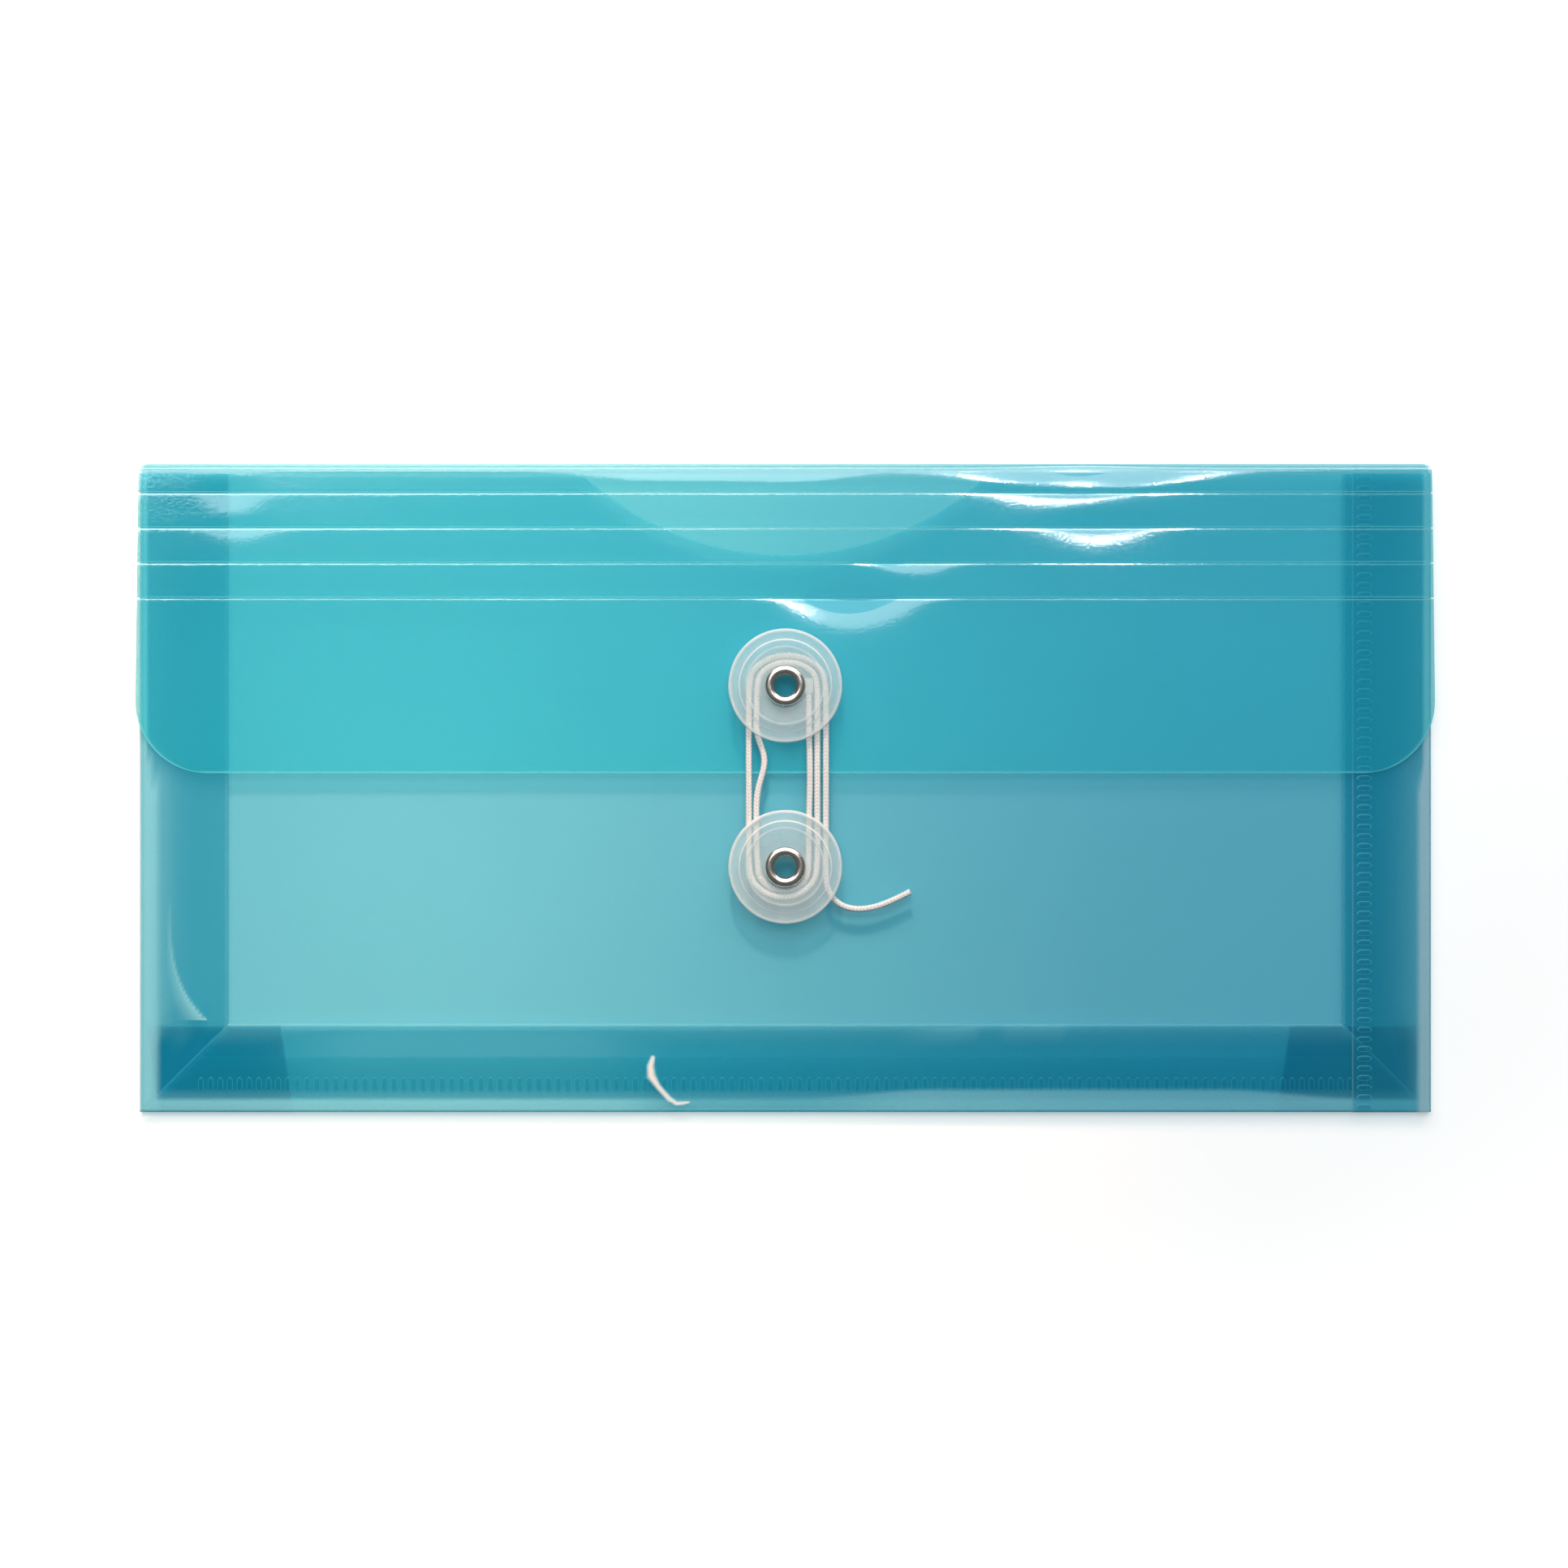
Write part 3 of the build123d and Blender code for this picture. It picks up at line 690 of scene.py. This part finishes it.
def eyelet_profile(sheet_z, disc_z):
    """The eyelet's section, from the bore down to the rolled end, up the barrel, over the dome and back."""
    seat = disc_z + DISC_T + 0.0002
    low = sheet_z - 0.0003
    under = sheet_z - 0.00002
    dome = [(0.003075 + 0.000925 * cos(radians(turn)), seat + 0.00008 + 0.00057 * sin(radians(turn)))
            for turn in range(0, 181, 12)]
    section = [(EYELET_BORE, seat - 0.0006), (EYELET_BORE, low + 0.0001), (0.0023, low), (0.0031, low),
               (0.0034, low + 0.00012), (0.0033, under), (BARREL, under), (BARREL, seat), (0.0039, seat)]
    return [(radius, height, 0) for radius, height in section + dome + section[:1]]


turned("upper_eyelet_turned", eyelet_profile(4 * LAYER, UPPER_DISC_Z), UPPER_Y, nickel, "flap", "upper_eyelet",
       "eyelet", 72)
turned("lower_eyelet_turned", eyelet_profile(3 * LAYER, LOWER_DISC_Z), LOWER_Y, nickel, "front", "lower_eyelet",
       "eyelet", 72)

# The string is a thin white braid, fastened to the upper hub's lug and wound round both hubs without crossing.
# Its cut end lies loose on the front panel past the lower button.
STRING = 0.00125
STRING_Z = 0.00415
STITCH = 0.0007  # length of a stitch
STITCH_ROWS = 6
STITCH_LEAN = 0.8
PACE = 0.00012  # from one ring of points to the next
RUNS = [0.0046 + 0.00085 * turn for turn in range(5)]  # how far each run between the buttons is from the middle
SLACK = [(-0.0057, LOWER_Y + 0.0085), (-0.0056, -0.0010), (-0.0041, 0.0038), (-0.0041, 0.0066),
         (-0.0057, UPPER_Y - 0.0095), (-0.0056, UPPER_Y - 0.0050)]  # the wavy first run on the left
TAIL = [(0.0, 0.0, 0.0), (0.0, -0.0042, 0.0), (0.0024, -0.0076, 0.0004), (0.0066, -0.0086, 0.00074),
        (0.0119, -0.0074, 0.0008), (0.0166, -0.0049, 0.0008)]
turns = [(RUNS[0], UPPER_Y - 0.0015), (RUNS[0], UPPER_Y - 0.008), (RUNS[0] + 0.0003, UPPER_Y - 0.017),
         (RUNS[0], LOWER_Y + 0.008)]
for turn in range(4):
    hand, hub_y = (-1, UPPER_Y) if turn % 2 else (1, LOWER_Y)
    middle = hand * (RUNS[turn] - RUNS[turn + 1]) / 2
    reach = (RUNS[turn] + RUNS[turn + 1]) / 2 * 1.03
    tall = 0.0047 if turn < 2 else 0.00605
    for step in range(1, 8):
        angle = pi * (step - 0.5) / 7
        turns.append((middle + hand * reach * cos(angle), hub_y - hand * tall * sin(angle)))
    if turn == 0:
        turns += SLACK
    elif turn < 3:
        turns += [(-hand * RUNS[turn + 1], hub_y + hand * away) for away in (0.009, 0.0178, 0.0265)]
turns += [(RUNS[4], UPPER_Y - 0.009), (RUNS[4], UPPER_Y - 0.018), (RUNS[4], LOWER_Y + 0.008)]
route = [(x, y, STRING_Z) for x, y in turns]
route += [(RUNS[4] + x, LOWER_Y + y, STRING_Z - drop) for x, y, drop in TAIL]
line = bpy.data.curves.new("string_line", "CURVE")
line.dimensions = "3D"
line.resolution_u = 10
spline = line.splines.new("NURBS")
spline.points.add(len(route) - 1)
for point, bend in zip(spline.points, route):
    point.co = (*bend, 1)
spline.order_u = 3
spline.use_endpoint_u = True
guide = bpy.data.objects.new("string_guide", line)
bpy.context.collection.objects.link(guide)
bpy.context.view_layer.update()
read = bpy.data.meshes.new_from_object(guide)
path = [Vector(vertex.co) for vertex in read.vertices]
bpy.data.objects.remove(guide)


def even(points, step):
    """The same line at even steps."""
    out, carry = [points[0]], 0.0
    for before, after in zip(points, points[1:]):
        span = (after - before).length
        while span and carry + span >= step:
            part = (step - carry) / span
            before = before + (after - before) * part
            out.append(before)
            span = (after - before).length
            carry = 0.0
        carry += span
    return out


def braid(name, steps, material, body, slot, *nodes, sides=24):
    """A tube along even steps with rows of slanted stitches, which lean left and right by turns as in a braid."""
    points, raised = [], []
    for index, point in enumerate(steps):
        ahead = steps[min(index + 1, len(steps) - 1)] - steps[max(index - 1, 0)]
        ahead.normalize()
        across = ahead.cross(Vector((0, 0, 1))).normalized()
        up = across.cross(ahead)
        for side in range(sides):
            turn = 2 * pi * side / sides
            row, part = divmod(STITCH_ROWS * side / sides + 0.5, 1)
            lean = STITCH_LEAN if row % 2 else -STITCH_LEAN
            crest = abs(cos(pi * (index * PACE / STITCH + lean * (part - 0.5))))
            lift = sqrt(crest * sin(pi * (0.1 + 0.8 * part)))
            radius = STRING / 2 * (0.82 + 0.18 * lift)
            points.append(point + across * radius * cos(turn) + up * radius * sin(turn))
            # How raised each point is; the string's colour is painted darker where it is low, as shade between the
            # stitches.
            raised.append(lift)
    faces = tube_faces(len(steps), sides)
    faces.append(tuple(range(sides - 1, -1, -1)))
    faces.append(tuple(range((len(steps) - 1) * sides, len(steps) * sides)))
    return add_piece(name, points, faces, raised, material, body, slot, *nodes, attribute="stitch")


cotton, made = fresh("string_cotton")
place = made.make("ShaderNodeTexCoord", out="Object")
yarn = made.make("ShaderNodeTexNoise", None, {"Vector": place, "Scale": 5200.0, "Detail": 2.0})
stitch = made.make("ShaderNodeAttribute", {"attribute_name": "stitch"}, out="Fac")
bump = made.make("ShaderNodeBump", None, {"Strength": 0.6, "Distance": 0.0001, "Height": yarn})
soft = made.make("ShaderNodeBsdfPrincipled", None, {
    # Painted shade: the base colour turns grey where the stitch value is low, between the stitches.
    "Base Color": (stitch * 1.1 - yarn * 0.1).blend((0.50, 0.56, 0.60, 1), (0.99, 0.99, 0.98, 1)),
    "Roughness": yarn * 0.15 + 0.8,
    "Sheen Weight": 0.3,
    "Normal": bump,
})
made.make("ShaderNodeOutputMaterial", None, {"Surface": soft})
steps = even(path, PACE)
string = braid("string_braid", steps, cotton, "flap", "string", "string_winding", "string_tail")

# The studio: a plain white floor and a faint even surround, lit by three soft lamps beyond the top edge
# and a warm spot on the left. The camera looks straight down, as in the photograph.
PAPER = (0.95, 0.95, 0.95, 1)
floor_mesh = bpy.data.meshes.new("floor")
floor_mesh.from_pydata([(-3, -3, 0), (3, -3, 0), (3, 3, 0), (-3, 3, 0)], [], [(0, 1, 2, 3)])
floor = bpy.data.objects.new("floor", floor_mesh)
bpy.context.collection.objects.link(floor)
paper, made = fresh("floor_paper")
seen = made.make("ShaderNodeLightPath", out="Is Camera Ray") + made.make("ShaderNodeLightPath", out="Is Glossy Ray")
seen = seen + made.make("ShaderNodeLightPath", out="Is Transmission Ray")
behind = made.make("ShaderNodeLightPath", out="Transparent Depth")
place = made.make("ShaderNodeTexCoord", out="Object")
oval = made.make("ShaderNodeVectorMath", {"operation": "MULTIPLY"}, {0: place, 1: (1.0, 1.9, 1.0)})
away = made.make("ShaderNodeVectorMath", {"operation": "LENGTH"}, {0: oval}, "Value")
glow = made.make("ShaderNodeMapRange", {"interpolation_type": "SMOOTHSTEP"}, {0: away, 1: 0.14, 2: 0.45})
plain = glow.blend((0.34, 0.34, 0.34, 1), PAPER)
ground = made.make("ShaderNodeBsdfPrincipled", None, {
    "Base Color": PAPER,
    "Roughness": 0.9,
    "Specular IOR Level": 0.0,
    "Emission Color": (seen * (1 - behind.maths("MINIMUM", behind, 1.0))).blend((0, 0, 0, 1), plain),
    "Emission Strength": 1.0,
})
made.make("ShaderNodeOutputMaterial", None, {"Surface": ground})
floor_mesh.materials.append(paper)

world = bpy.data.worlds.new("surround")
bpy.context.scene.world = world
world.use_nodes = True
world.node_tree.nodes["Background"].inputs["Color"].default_value = (0.94, 1, 1, 1)
world.node_tree.nodes["Background"].inputs["Strength"].default_value = 0.10


def hang(name, kind, place, aim, power, colour):
    """A lamp at a place, turned towards a point."""
    light = bpy.data.lights.new(name, kind)
    light.energy = power
    light.color = colour
    holder = bpy.data.objects.new(name, light)
    holder.location = place
    holder.rotation_euler = (Vector(aim) - Vector(place)).to_track_quat("-Z", "Y").to_euler()
    bpy.context.collection.objects.link(holder)
    return holder


def soft_lamp(name, place, aim, wide, tall, power, colour):
    """A soft rectangular lamp."""
    light = hang(name, "AREA", place, aim, power, colour).data
    light.shape = "RECTANGLE"
    light.size = wide
    light.size_y = tall


pool = hang("pool", "SPOT", (-0.078, 0.73, 0.60), (-0.078, -0.03, 0), 58, (1.0, 0.56, 0.33))
pool.data.spot_size = radians(13.8)
pool.data.spot_blend = 1.0
pool.data.shadow_soft_size = 0.08
pool.visible_glossy = False
soft_lamp("sky", (-0.075, 0.375, 0.95), (0, 0, 0), 0.65, 0.35, 3.2, (0.93, 0.98, 1.0))
soft_lamp("window", (0.14, 0.255, 0.93), (0.06, 0.055, 0), 0.06, 0.07, 0.4, (1, 1, 1))
soft_lamp("low", (0.05, 0.75, 0.62), (0, 0, 0), 1.4, 0.4, 6.2, (1, 1, 1))

camera_data = bpy.data.cameras.new("camera")
camera_data.sensor_width = 36
camera_data.lens = 85
camera = bpy.data.objects.new("camera", camera_data)
camera.location = (-0.00024, 0.00072, 0.7303)
bpy.context.collection.objects.link(camera)
bpy.context.scene.camera = camera
bpy.context.scene.view_settings.view_transform = "Standard"
bpy.context.scene.cycles.transparent_max_bounces = 32
